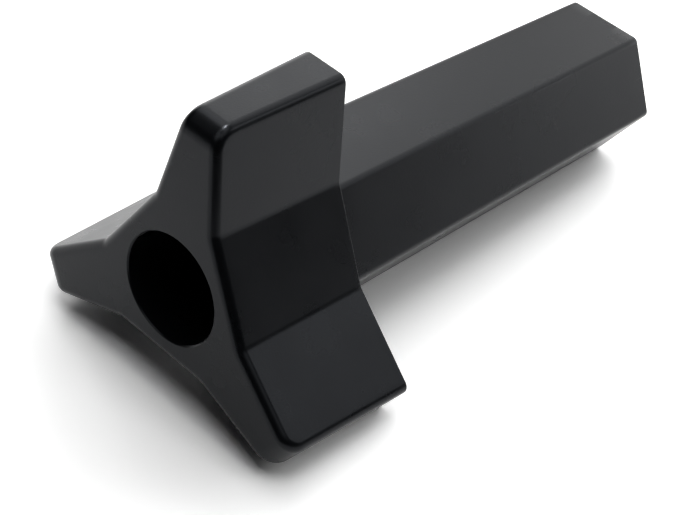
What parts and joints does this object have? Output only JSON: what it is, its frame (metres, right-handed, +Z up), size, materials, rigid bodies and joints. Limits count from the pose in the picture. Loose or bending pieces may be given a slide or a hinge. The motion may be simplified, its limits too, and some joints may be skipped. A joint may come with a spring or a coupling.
{
  "type": "clamp knob",
  "caption": "Lobed black plastic clamp knob on a long hexagonal shank, hollow from the head, with a threaded brass insert in the shank's end.",
  "frame": {"origin": "on the floor, under the middle of the knob's bounding box, as it lies on two lobes and the shank's end", "axes": "+X from the head to the shank's end, level with the floor; +Y across the knob; +Z up"},
  "size_m": [0.0948, 0.0498, 0.0442],
  "materials": {
    "moulded_plastic": "fine satin texture from the mould",
    "brass": "turned and knurled"
  },
  "bodies": {
    "root": {"knob_body": "moulded_plastic", "brass_insert": "brass"}
  },
  "joints": []
}
